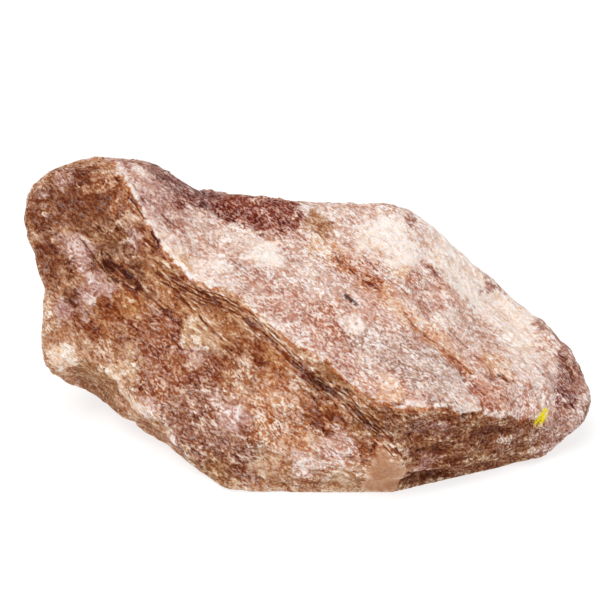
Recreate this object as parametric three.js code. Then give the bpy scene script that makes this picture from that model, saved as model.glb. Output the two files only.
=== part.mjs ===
// A broken block of pink rock salt: one piece of massive halite, as it was split from its bed.
// A pale upper slab leans down to the front and the right. The edges of the beds show as ledges.
// An open bedding joint runs below the slab's front edge, and the darker rock below it stands forward.
// The right end tapers to a blunt tip, and the left end is undercut.
//
// Millimetres. +X runs along the block to its blunt tip, +Y to its back and +Z up.
// The origin lies on the resting plane, under the middle of the block.
import * as THREE from "three";
import { ImprovedNoise } from "three/addons/math/ImprovedNoise.js";

// Driving dimensions
const blockLength = 266;
const blockDepth = 147;
const blockHeight = 117;

// Surface grid: the longest edge allowed on each part of the surface
const openEdge = 7.6;
const jointEdge = 5; // near the open joint
const jointReach = 8; // how far from the joint the finer grid goes
const hiddenEdge = 9.2; // on the back and underneath
const baseEdge = 24; // on the flat base
const unevenness = 0.4; // how far the grid strays from even spacing

// Bedding: the beds are parallel to the slab
const bedNormal = new THREE.Vector3(0.152, -0.37, 0.917).normalize();
const bedWaviness = 3;
const bedStep = 2.4; // half the width over which one bed gives way to the next
const beds = [
  { floor: -60, out: 0.3 }, { floor: 6, out: 1.3 }, { floor: 22, out: -0.8 }, { floor: 38, out: 0.9 },
  { floor: 52, out: -0.6 }, { floor: 67, out: 0.8 },
];

// Open bedding joint
const jointDepth = 1.5;
const jointHalfWidth = 3.6;
const lipHeight = 0.6; // how far the rock below the joint stands forward
const lipWidth = 10;

// Relief of the broken faces: waves by length and height, and chips by size and tilt
const waves = [{ length: 55, height: 2.2 }, { length: 26, height: 1.3 }, { length: 12, height: 0.8 }];
const smallChips = { size: 19, tilt: 0.15 }; // everywhere
const bigChips = { size: 43, tilt: 0.2 }; // on the back
const baseFade = 7; // the relief fades out over this height above the base

// Hollows and lumps: the middle, the reach, how much longer than wide, and the rise (a hollow's is negative)
const ridgeWay = new THREE.Vector3(0.725, -0.557, -0.405).normalize();
const dents = [
  { at: [-80, 5, 79], reach: 11, stretch: 1.9, rise: -4 }, // under the crown
  { at: [-98, 8, 72], reach: 13, stretch: 1.3, rise: 2.4 }, // pale swelling left of it
  { at: [-88, -4, 61], reach: 9, stretch: 1.2, rise: -2.2 },
  { at: [-46, -24, 57], reach: 10, stretch: 1.8, rise: 2.6 }, // shelf in the middle of the front face
  { at: [-38, -34, 47], reach: 9, stretch: 1.6, rise: -2 }, // shadow under the shelf
  { at: [4, -54, 28], reach: 14, stretch: 1.5, rise: -2.2 },
  { at: [57, -56, 3], reach: 13, stretch: 1.2, rise: -4 }, // broken away beside the front corner
  { at: [88, -50, 22], reach: 9, stretch: 1.9, rise: -1.8 },
  { at: [-28, 30, 95], reach: 12, stretch: 2.2, rise: -1.6 }, // foot of the broken upper bed
  { at: [24, -9, 71], reach: 5, stretch: 1.8, rise: -1.8 },
  { at: [56, -20, 59], reach: 6, stretch: 1.3, rise: -2 },
  { at: [90, -32, 44], reach: 6, stretch: 1.3, rise: -2.2 },
  { at: [120, -4, 33], reach: 15, stretch: 1, rise: 2 }, // shoulder of the blunt tip
  { at: [-122, 38, 52], reach: 20, stretch: 1, rise: -3 }, // left end
  { at: [-46, 68, 62], reach: 30, stretch: 1, rise: -4.5 }, // back
  { at: [-12, 78, 22], reach: 22, stretch: 1.2, rise: 2.5 },
  { at: [70, 54, 44], reach: 24, stretch: 1.2, rise: -3.5 },
  { at: [-88, 24, 6], reach: 18, stretch: 1, rise: -2 }, // undercut left end
];

// Rails: the block's long edges, each from the left end to the right end.
// Neighbouring rails are joined station by station, so every rail has the same number of points.
const rails = {
  foot: [
    [-116, 4, 17], [-98, 4, 12], [-83, -6, 7], [-68, -22, 4], [-49, -41, 2], [-30, -60, 0], [-7, -60, 0],
    [18, -60, 0], [43, -60, 0], [58, -55, 0], [72, -48, 0], [93, -41, 0], [118, -34, 3],
  ],
  bevel: [
    [-120, 0, 36], [-102, -9, 38], [-85, -21, 35], [-70, -33, 27], [-54, -45, 19], [-34, -58, 12], [-9, -61, 12],
    [17, -64, 12], [46, -65, 17], [57, -60, 13], [71, -55, 11], [91, -47, 9], [123, -33, 8],
  ],
  waist: [
    [-121, 9, 60], [-104, 1, 62], [-84, -8, 60], [-66, -17, 55], [-47, -30, 48], [-26, -43, 40], [-7, -54, 34],
    [15, -62, 30], [41, -67, 25], [52, -61, 22], [68, -56, 22], [90, -49, 18], [119, -32, 12],
  ],
  joint: [
    [-124, 21, 83], [-110, 16, 85], [-86, 9, 84], [-67, -2, 76], [-48, -12, 75], [-27, -27, 64], [-6, -41, 57],
    [14, -54, 47], [34, -65, 33], [49, -61, 30], [66, -57, 31], [88, -50, 27], [120, -31, 18],
  ],
  ridge: [
    [-131, 33, 99], [-110, 34, 111], [-84, 31, 116], [-64, 8, 93], [-50, -6, 80], [-33, -15, 79], [-15, -29, 69],
    [3, -45, 57], [22, -58, 45], [42, -61, 43], [61, -58, 45], [85, -51, 36], [110, -37, 24],
  ],
  slab: [
    [-132, 37, 103], [-113, 39, 113], [-76, 36, 116], [-59, 27, 103], [-44, 25, 94], [-27, 25, 91], [-7, 18, 86],
    [9, 9, 80], [29, -8, 69], [51, -28, 57], [71, -36, 48], [92, -39, 42], [116, -24, 36],
  ],
  crest: [
    [-129, 44, 104], [-112, 46, 113], [-90, 45, 117], [-70, 42, 112], [-60, 41, 105], [-46, 38, 99], [-21, 35, 100],
    [0, 40, 96], [22, 46, 93], [48, 48, 91], [70, 44, 76], [98, 36, 53], [121, 20, 40],
  ],
  backShoulder: [
    [-124, 48, 96], [-113, 52, 104], [-97, 54, 109], [-76, 57, 110], [-58, 58, 103], [-40, 60, 92], [-18, 64, 86],
    [4, 70, 80], [27, 66, 79], [50, 60, 77], [72, 52, 62], [99, 38, 43], [134, 6, 26],
  ],
  backWaist: [
    [-122, 51, 60], [-110, 54, 62], [-92, 58, 60], [-72, 62, 57], [-52, 67, 54], [-31, 71, 50], [-9, 76, 45],
    [12, 78, 40], [33, 72, 38], [55, 62, 36], [77, 49, 30], [103, 31, 24], [138, -8, 18],
  ],
  backFoot: [
    [-113, 36, 20], [-100, 46, 8], [-84, 51, 0], [-64, 56, 0], [-44, 60, 0], [-24, 64, 0], [-3, 68, 0],
    [17, 68, 0], [38, 61, 0], [60, 50, 0], [83, 35, 0], [107, 15, 0], [134, -18, 4],
  ],
};
const leftEnd = [-123, 32, 60];
const rightEnd = [133, -18, 20];

// Edges that stay sharp, by rail and by the stations they run between
const sharpRuns = [
  { rail: "ridge", from: 2, to: 12 }, { rail: "joint", from: 3, to: 8 }, { rail: "slab", from: 3, to: 6 },
  { rail: "foot", from: 4, to: 11 }, { rail: "backFoot", from: 2, to: 11 },
];
const sharpCorners = [
  { station: 8, from: "foot", to: "joint" }, { station: 7, from: "backShoulder", to: "backFoot" },
  { station: 12, from: "waist", to: "slab" },
];

const railNames = Object.keys(rails);
const stations = rails.foot.length;
const perlin = new ImprovedNoise();

const edgeKey = (a, b) => (a < b ? `${a}_${b}` : `${b}_${a}`);
const noise = (p, wavelength, shift) =>
  perlin.noise(p.x / wavelength + shift, p.y / wavelength + 2 * shift, p.z / wavelength - shift);

// Joins the rails with strips of triangles and closes both ends with fans.
function makeCage() {
  const points = railNames.flatMap((name) => rails[name].map((p) => new THREE.Vector3(...p)));
  const triangles = [];
  const at = (rail, station) => (rail % railNames.length) * stations + station;
  const left = points.push(new THREE.Vector3(...leftEnd)) - 1;
  const right = points.push(new THREE.Vector3(...rightEnd)) - 1;
  for (let rail = 0; rail < railNames.length; rail++) {
    triangles.push([left, at(rail, 0), at(rail + 1, 0)]);
    triangles.push([right, at(rail + 1, stations - 1), at(rail, stations - 1)]);
    for (let s = 0; s < stations - 1; s++) {
      const [a, b, c, d] = [at(rail, s), at(rail, s + 1), at(rail + 1, s + 1), at(rail + 1, s)];
      const shorterAc = points[a].distanceTo(points[c]) < points[b].distanceTo(points[d]);
      triangles.push(...(shorterAc ? [[a, b, c], [a, c, d]] : [[a, b, d], [b, c, d]]));
    }
  }

  const sharp = new Set();
  for (const { rail, from, to } of sharpRuns) {
    const row = railNames.indexOf(rail);
    for (let s = from; s < to; s++) sharp.add(edgeKey(at(row, s), at(row, s + 1)));
  }
  for (const { station, from, to } of sharpCorners) {
    for (let row = railNames.indexOf(from); row < railNames.indexOf(to); row++) {
      sharp.add(edgeKey(at(row, station), at(row + 1, station)));
    }
  }
  return { points, triangles, sharp };
}

// Splits every edge longer than its limit once, and the triangles beside it to match.
function splitLongEdges({ points, triangles, sharp }, limitAt) {
  const middles = new Map();
  const middle = (a, b) => {
    const key = edgeKey(a, b);
    if (!middles.has(key)) {
      const centre = points[a].clone().lerp(points[b], 0.5);
      const long = points[a].distanceTo(points[b]) > limitAt(centre);
      centre.lerp(points[a], unevenness * noise(centre, 5.3, 1.1));
      const made = long ? points.push(centre) - 1 : 0;
      if (long && sharp.has(key)) sharp.add(edgeKey(a, made)).add(edgeKey(made, b));
      middles.set(key, made);
    }
    return middles.get(key);
  };
  const split = (a, b, c) => {
    const [ab, bc, ca] = [middle(a, b), middle(b, c), middle(c, a)];
    if (ab && bc && ca) return [[a, ab, ca], [ab, b, bc], [bc, c, ca], [ab, bc, ca]];
    if (ab && bc) {
      const acrossA = points[a].distanceTo(points[bc]) < points[ab].distanceTo(points[c]);
      return [[ab, b, bc], ...(acrossA ? [[a, ab, bc], [a, bc, c]] : [[a, ab, c], [ab, bc, c]])];
    }
    if (ab && !ca) return [[a, ab, c], [ab, b, c]];
    return bc || ca ? split(b, c, a) : [[a, b, c]];
  };
  const finer = triangles.flatMap(([a, b, c]) => split(a, b, c));
  return { points, triangles: finer, sharp };
}

// Evens out the grid and softens the edges that aren't sharp, without shrinking the block.
function relax({ points, triangles, sharp }, rounds) {
  const around = points.map(() => new Set());
  for (const [a, b, c] of triangles) {
    around[a].add(b).add(c);
    around[b].add(a).add(c);
    around[c].add(a).add(b);
  }
  const ties = around.map((ring, i) => {
    const along = [...ring].filter((j) => sharp.has(edgeKey(i, j)));
    if (along.length === 0) return [...ring];
    return along.length === 2 ? along : [];
  });
  for (let round = 0; round < 2 * rounds; round++) {
    const amount = round % 2 ? -0.3 : 0.45;
    const moved = points.map((p, i) => {
      if (ties[i].length === 0) return p.clone();
      const mean = new THREE.Vector3();
      for (const j of ties[i]) mean.addScaledVector(points[j], 1 / ties[i].length);
      const next = p.clone().lerp(mean, amount);
      if (p.z === 0) next.z = 0;
      return next;
    });
    points.forEach((p, i) => p.copy(moved[i]));
  }
}

// Nearest point of the open joint, for stations 2 to 9 of its rail.
const jointLine = rails.joint.slice(2, 10).map((p) => new THREE.Vector3(...p));
function nearestOnJoint(p) {
  let best = { distance: Infinity, point: jointLine[0], along: 0 };
  for (let i = 0; i < jointLine.length - 1; i++) {
    const piece = new THREE.Line3(jointLine[i], jointLine[i + 1]);
    const t = piece.closestPointToPointParameter(p, true);
    const point = piece.at(t, new THREE.Vector3());
    const distance = point.distanceTo(p);
    if (distance < best.distance) best = { distance, point, along: (i + t) / (jointLine.length - 1) };
  }
  return best;
}

// The joint is a narrow slot with a lip below it, and it closes towards both ends.
function jointRelief(p) {
  const { distance, point, along } = nearestOnJoint(p);
  if (distance > lipWidth) return 0;
  const below = point.clone().sub(p).dot(bedNormal) > 0;
  const open = THREE.MathUtils.smoothstep(along, 0, 0.2) * (1 - THREE.MathUtils.smoothstep(along, 0.85, 1));
  const slot = 1 - THREE.MathUtils.smoothstep(distance, 0, jointHalfWidth);
  const lip = below ? THREE.MathUtils.smoothstep(distance, 0, jointHalfWidth) * (1 - distance / lipWidth) : 0;
  const gape = 1 + 1.1 * noise(p, 19, 21.3);
  return open * gape * (lipHeight * lip - jointDepth * slot);
}

// Each bed stands a little in or out wherever a face cuts across it.
function bedRelief(p, normal) {
  const height = p.dot(bedNormal) + bedWaviness * noise(p, 48, 5.3) + 0.8 * noise(p, 14, 8.1);
  let out = beds[0].out;
  for (let i = 1; i < beds.length; i++) {
    const passed = THREE.MathUtils.smoothstep(height, beds[i].floor - bedStep, beds[i].floor + bedStep);
    out += passed * (beds[i].out - beds[i - 1].out);
  }
  const across = 1 - normal.dot(bedNormal) ** 2;
  return out * across * (1 + 1.5 * noise(p, 33, 31.7));
}

// Chips: space is divided into irregular cells, and each cell tilts its own piece of the surface.
function chipRelief(p, { size, tilt }) {
  const home = p.clone().divideScalar(size).floor();
  let nearest = Infinity;
  let relief = 0;
  for (let i = 0; i < 27; i++) {
    const cell = home.clone().add(new THREE.Vector3((i % 3) - 1, (Math.floor(i / 3) % 3) - 1, Math.floor(i / 9) - 1));
    const scatter = (shift) => new THREE.Vector3(
      noise(cell, 1.37, shift), noise(cell, 1.37, shift + 2.8), noise(cell, 1.37, shift + 5.8),
    );
    const seed = cell.clone().addScalar(0.5).addScaledVector(scatter(1.9), 0.8).multiplyScalar(size);
    const away = p.clone().sub(seed);
    if (away.length() < nearest) {
      nearest = away.length();
      relief = away.dot(scatter(11.3)) * tilt;
    }
  }
  return relief;
}

function waveRelief(p) {
  return waves.reduce((sum, { length, height }, i) => sum + height * noise(p, length, 3.7 * (i + 1)), 0);
}

function dentRelief(p) {
  let relief = 0;
  for (const { at, reach, stretch, rise } of dents) {
    const away = p.clone().sub(new THREE.Vector3(...at));
    away.addScaledVector(ridgeWay, away.dot(ridgeWay) * (1 / stretch - 1));
    relief += rise * (1 - THREE.MathUtils.smoothstep(away.length(), 0.25 * reach, reach));
  }
  return relief;
}

function makeGeometry({ points, triangles }) {
  const geometry = new THREE.BufferGeometry().setFromPoints(points);
  geometry.setIndex(triangles.flat());
  geometry.computeVertexNormals();
  return geometry;
}

// Moves every point along its normal by the relief, except on the base.
function roughen(block) {
  const normals = makeGeometry(block).getAttribute("normal");
  block.points.forEach((p, i) => {
    if (p.z === 0) return;
    const normal = new THREE.Vector3().fromBufferAttribute(normals, i);
    const backward = THREE.MathUtils.smoothstep(normal.y, -0.1, 0.5);
    const broken = waveRelief(p) + chipRelief(p, smallChips) + backward * chipRelief(p, bigChips);
    const evenness = normal.dot(bedNormal) ** 2; // the beds part evenly and break unevenly
    const relief = broken * (1 - 0.6 * evenness) + dentRelief(p) + bedRelief(p, normal) + jointRelief(p);
    p.addScaledVector(normal, relief * THREE.MathUtils.smoothstep(p.z, -1, baseFade));
    p.z = Math.max(p.z, 0); // nothing reaches below the base
  });
}

// Scales the block to its driving dimensions and centres it over the origin.
function fitToSize({ points }) {
  const box = new THREE.Box3().setFromPoints(points);
  const size = box.getSize(new THREE.Vector3());
  const centre = box.getCenter(new THREE.Vector3()).setZ(0);
  const scale = new THREE.Vector3(blockLength, blockDepth, blockHeight).divide(size);
  for (const p of points) p.sub(centre).multiply(scale);
}

let block = makeCage();
const edgeLimit = (p) => {
  if (p.z === 0) return baseEdge;
  if (nearestOnJoint(p).distance < jointReach) return jointEdge;
  return p.y > 55 || p.z < 8 ? hiddenEdge : openEdge;
};
for (let pass = 0; pass < 7; pass++) block = splitLongEdges(block, edgeLimit);
relax(block, 5);
roughen(block);
fitToSize(block);

const pinkSalt = new THREE.MeshStandardMaterial({ color: 0xc59a86, roughness: 0.72, metalness: 0, flatShading: true });
const halite = new THREE.Mesh(makeGeometry(block), pinkSalt);
halite.name = "halite";

const group = new THREE.Group();
group.name = "halite_block";
group.add(halite);
export default group;
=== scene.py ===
import math
from types import SimpleNamespace

import bmesh
import bpy
import numpy as np
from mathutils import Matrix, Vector, kdtree, noise


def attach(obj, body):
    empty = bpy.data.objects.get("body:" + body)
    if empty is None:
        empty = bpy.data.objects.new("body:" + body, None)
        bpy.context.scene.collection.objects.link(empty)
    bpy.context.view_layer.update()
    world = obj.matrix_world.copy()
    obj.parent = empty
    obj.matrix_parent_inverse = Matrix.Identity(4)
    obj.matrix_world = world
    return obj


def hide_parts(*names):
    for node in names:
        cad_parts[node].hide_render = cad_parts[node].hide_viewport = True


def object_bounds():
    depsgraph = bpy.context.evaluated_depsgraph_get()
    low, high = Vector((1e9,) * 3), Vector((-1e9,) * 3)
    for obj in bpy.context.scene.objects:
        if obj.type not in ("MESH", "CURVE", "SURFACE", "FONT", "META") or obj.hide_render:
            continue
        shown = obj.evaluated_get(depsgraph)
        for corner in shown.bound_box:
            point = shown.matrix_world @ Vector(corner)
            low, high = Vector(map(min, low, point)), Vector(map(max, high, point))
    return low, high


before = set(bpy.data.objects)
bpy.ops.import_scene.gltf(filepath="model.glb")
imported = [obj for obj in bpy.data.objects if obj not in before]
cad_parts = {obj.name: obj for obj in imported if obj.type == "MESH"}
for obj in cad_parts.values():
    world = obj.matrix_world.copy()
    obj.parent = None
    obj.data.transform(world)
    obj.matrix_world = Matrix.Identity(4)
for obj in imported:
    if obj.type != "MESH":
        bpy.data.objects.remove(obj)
cadLow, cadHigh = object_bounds()
mm = 0.001

# directions of the rock: the beds lie across bedUp, and the grain runs down along ridgeWay
bedUp = Vector((0.152, -0.37, 0.917)).normalized()
ridgeWay = Vector((0.725, -0.557, -0.405)).normalized()
# square to the ridge: forward and down, away from the slab
ridgeFront = (ridgeWay.cross(bedUp) - 0.7 * bedUp).normalized()

# lines on the block, in millimetres: the slab's broken edge, the open joint below it, the front corner,
# the edge of the right tip, and the rusty step down the slab
ridgeLine = [
    (-140, 50, 100), (-112, 44, 116), (-96, 38, 119), (-88, 33, 116), (-84, 24, 114), (-79, 16, 108),
    (-75, 12, 102), (-64, -2, 89), (-54, -11, 80), (-45, -17, 79), (-34, -21, 79), (-8, -40, 65),
    (12, -49, 55), (22, -57, 49), (36, -64, 45), (42, -66, 44), (48, -64, 45), (53, -65, 44), (61, -63, 44),
    (65, -63, 41), (77, -59, 37), (94, -51, 29), (101, -46, 25), (108, -42, 24),
]
jointLine = [
    (-64, -6, 77), (-46, -19, 73), (-36, -24, 73), (-31, -27, 71), (-24, -33, 69), (-16, -39, 64),
    (-11, -44, 61), (-1, -50, 54), (7, -54, 49), (18, -61, 46), (26, -65, 38), (35, -70, 31), (41, -72, 25),
]
cornerLine = [(34, -69, 40), (35, -69, 36), (39, -71, 28), (45, -71, 19), (43, -70, 11), (40, -66, 0)]
tipLine = [
    (111, 20, 44), (113, 12, 42), (117, 5, 39), (118, -7, 38), (116, -20, 36), (113, -30, 35),
    (114, -35, 26), (111, -40, 25), (108, -43, 23), (108, -42, 8),
]
stepLine = [
    (16, 6, 80), (25, -1, 75), (34, -7, 71), (41, -13, 68), (49, -21, 62), (56, -26, 57), (65, -33, 52),
    (77, -49, 43),
]
# crevices of the left end, which the finish paints dark as the shade inside them
creviceLines = [
    [(-102, 9, 87), (-97, 4, 82), (-92, 1, 77), (-86, -2, 73)],
    [(-94, 5, 82), (-89, 2, 77), (-83, -3, 72), (-77, -8, 71)],
    [(-82, 1, 75), (-77, -5, 72), (-71, -10, 69), (-60, -20, 63), (-54, -26, 60)],
    [(-79, 15, 105), (-72, 7, 97), (-66, -2, 88), (-59, -8, 81), (-50, -16, 76), (-42, -21, 74)],
    [(-57, -14, 73), (-52, -20, 69), (-47, -24, 66), (-42, -28, 62), (-35, -35, 57)],
]
# thin cracks in the slab, with the step among them, and short deep pits
slabCracks = [
    stepLine, [(79, -29, 46), (84, -36, 43), (90, -37, 42)], [(-64, 12, 98), (-57, 9, 95)],
    [(-56, 30, 103), (-48, 26, 98), (-38, 23, 95)], [(-86, 22, 113), (-79, 22, 111), (-75, 16, 107)],
    [(6, 20, 88), (14, 12, 83), (16, 6, 80)], [(26, 12, 82), (33, 3, 77), (46, -6, 71)],
    [(56, -8, 65), (63, -17, 59), (72, -22, 52)],
]
slabPits = [
    [(18.5, -12, 70.5), (23.5, -16, 68.6)], [(83, -39, 43), (87, -35, 42.5)],
    [(51, -27, 58), (54, -24, 57)],
]
# the smooth facet on the front corner: x and z of its outline
facetOutline = [(33, 32), (43, 24), (46, 15), (41, 0), (26, 2), (29, 20)]
# a small crayon mark near the tip
crayonLine = [(105, -44, 23), (109, -40, 26)]


class Signal:
    # one socket of a node tree, with the sums that the trees below need
    def __init__(self, graph, socket):
        self.graph = graph
        self.socket = socket

    def __add__(self, other):
        return self.graph.math("ADD", self, other)

    def __sub__(self, other):
        return self.graph.math("SUBTRACT", self, other)

    def __rsub__(self, other):
        return self.graph.math("SUBTRACT", other, self)

    def __mul__(self, other):
        return self.graph.math("MULTIPLY", self, other)

    def __truediv__(self, other):
        return self.graph.math("DIVIDE", self, other)

    def __rtruediv__(self, other):
        return self.graph.math("DIVIDE", other, self)

    def __pow__(self, other):
        return self.graph.math("POWER", self, other)

    __radd__ = __add__
    __rmul__ = __mul__


class Graph:
    # makes the nodes of one tree
    def __init__(self, tree):
        self.tree = tree

    def put(self, kind, settings=None, inputs=None, output=0):
        node = self.tree.nodes.new(kind)
        for name, value in (settings or {}).items():
            setattr(node, name, value)
        for name, value in (inputs or {}).items():
            if isinstance(value, Signal):
                self.tree.links.new(value.socket, node.inputs[name])
            else:
                node.inputs[name].default_value = value
        return Signal(self, node.outputs[output])

    def math(self, operation, *values, clamp=False):
        settings = {"operation": operation, "use_clamp": clamp}
        return self.put("ShaderNodeMath", settings, dict(enumerate(values)))

    def vector(self, operation, *values):
        inputs = dict(enumerate(values))
        if operation == "SCALE":
            inputs = {0: values[0], 3: values[1]}
        output = 1 if operation == "DOT_PRODUCT" else 0
        return self.put("ShaderNodeVectorMath", {"operation": operation}, inputs, output)

    def ramp(self, value, low, high, toLow=0.0, toHigh=1.0):
        settings = {"interpolation_type": "SMOOTHSTEP"}
        inputs = {0: value, 1: low, 2: high, 3: toLow, 4: toHigh}
        return self.put("ShaderNodeMapRange", settings, inputs)

    def noise(self, place, size, detail=2.0, roughness=0.5, output=0):
        # size is the wavelength, in the units of place
        inputs = {"Vector": place, "Scale": 1 / size, "Detail": detail, "Roughness": roughness}
        return self.put("ShaderNodeTexNoise", {"noise_dimensions": "3D"}, inputs, output)

    def cells(self, place, size, feature="F1", output="Color"):
        inputs = {"Vector": place, "Scale": 1 / size}
        return self.put("ShaderNodeTexVoronoi", {"feature": feature}, inputs, output)

    def channel(self, colour, i):
        return self.put("ShaderNodeSeparateColor", {}, {0: colour}, i)

    def blend(self, share, first, second, mode="MIX"):
        settings = {"data_type": "RGBA", "blend_type": mode, "clamp_factor": True}
        return self.put("ShaderNodeMix", settings, {0: share, 6: first, 7: second}, 2)

    def squeeze(self, place, way, times):
        # shortens distances along way, so that what is drawn there comes out times longer
        along = self.vector("DOT_PRODUCT", place, tuple(way))
        back = self.vector("SCALE", tuple(way), along * (1 - 1 / times))
        return self.vector("SUBTRACT", place, back)

    def bend(self, place, size, far, detail=1.0):
        # a small shift that wanders with a wavelength of size
        shift = self.noise(place, size, detail, output=1)
        return self.vector("SCALE", self.vector("SUBTRACT", shift, (0.5,) * 3), far)

    def wander(self, place, size, far):
        # bends what is drawn, so that nothing runs straight
        return self.vector("ADD", place, self.bend(place, size, far))

    def stored(self, name):
        # a number that the mesh holds at its points, in Geometry Nodes
        return self.put("GeometryNodeInputNamedAttribute", {"data_type": "FLOAT"}, {"Name": name})

    def painted(self, name, output="Fac"):
        # the same in a material
        return self.put("ShaderNodeAttribute", {"attribute_name": name}, output=output)


def linear(red, green, blue):
    # a colour picked on screen, 0 to 255, as scene light
    return [((v / 255 + 0.055) / 1.055) ** 2.4 if v > 10 else v / 255 / 12.92 for v in (red, green, blue)]


def socketId(tree, name):
    return next(item.identifier for item in tree.interface.items_tree if item.name == name)


print("camera and light")

studio = {
    "eye": (-2.35, -581.05, 370.94),  # millimetres
    "aim": (-2.35, -5.66, 65),
    "lens": 85,
    "sky": 0.5,
    "lampFrom": (-0.25, -0.3, 0.92),  # the way to the soft lamp overhead
    "lampPower": 2.1,
    "lampSpread": 38,  # degrees
    "floorReach": 6,  # metres
    "floorDrop": 0.2,  # millimetres below the base
    "paper": 0.3,  # grey
    "paperGlow": 0.75,  # keeps the shadow on the paper light
}


def makeCamera():
    camera = bpy.data.objects.new("camera", bpy.data.cameras.new("camera"))
    bpy.context.scene.collection.objects.link(camera)
    eye, aim = Vector(studio["eye"]) * mm, Vector(studio["aim"]) * mm
    camera.location = eye
    camera.rotation_euler = (aim - eye).to_track_quat("-Z", "Y").to_euler()
    camera.data.lens = studio["lens"]
    camera.data.sensor_width = 36
    camera.data.clip_start = 0.01
    camera.data.clip_end = 20
    bpy.context.scene.camera = camera


def makeLight():
    scene = bpy.context.scene
    scene.view_settings.view_transform = "Standard"
    world = bpy.data.worlds.new("studio")
    scene.world = world
    world.use_nodes = True
    sky = world.node_tree.nodes["Background"]
    sky.inputs["Color"].default_value = (1, 1, 1, 1)
    sky.inputs["Strength"].default_value = studio["sky"]
    lamp = bpy.data.lights.new("overhead", "SUN")
    lamp.energy = studio["lampPower"]
    lamp.angle = math.radians(studio["lampSpread"])
    holder = bpy.data.objects.new("overhead", lamp)
    holder.rotation_euler = Vector(studio["lampFrom"]).to_track_quat("Z", "Y").to_euler()
    scene.collection.objects.link(holder)


def makeFloor():
    mesh = bpy.data.meshes.new("floor")
    reach, drop = studio["floorReach"], -studio["floorDrop"] * mm
    corners = [(-reach, -reach, drop), (reach, -reach, drop), (reach, reach, drop), (-reach, reach, drop)]
    mesh.from_pydata(corners, [], [(0, 1, 2, 3)])
    floor = bpy.data.objects.new("floor", mesh)
    bpy.context.scene.collection.objects.link(floor)
    paper = bpy.data.materials.new("white paper")
    paper.use_nodes = True
    shader = paper.node_tree.nodes["Principled BSDF"]
    shader.inputs["Base Color"].default_value = (*[studio["paper"]] * 3, 1)
    shader.inputs["Emission Color"].default_value = (1, 1, 1, 1)
    shader.inputs["Emission Strength"].default_value = studio["paperGlow"]
    shader.inputs["Roughness"].default_value = 0.9
    shader.inputs["Specular IOR Level"].default_value = 0.1
    mesh.materials.append(paper)


makeCamera()
makeLight()
makeFloor()

print("block shape")

block = {
    "voxel": 0.8,  # millimetres between points, before the block is thinned out
    "faces": 190000,
    "sharpAngle": 38,  # degrees: sharper edges of the solid stay crisp
    "bevel": 1.8,  # how far the slab's broken edge slopes in, and which way
    "bevelWay": (0.11, 0.86, -0.5),
    "facetLeft": 0.08,  # share of the relief that the smooth facet keeps
}
# the inputs of the relief's tree: sizes in millimetres, each with how far it stands out or goes in
relief = {
    "smoothing": 14,  # rounds
    "plate": 11.0, "plateOut": 0.7, "plateSteps": 7.0,  # a patch of broken plates, one step, and how many
    "ledge": 3.1, "ledgeOut": 0.7,  # the beds
    "leaf": 1.5, "leafOut": 0.5,  # the thin leaves beside the joint
    "jointWidth": 0.9, "jointDepth": 0.7,
    "crystal": 2.7, "crystalOut": 0.6,
    "grain": 1.5, "grainOut": 0.35,
}

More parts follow.
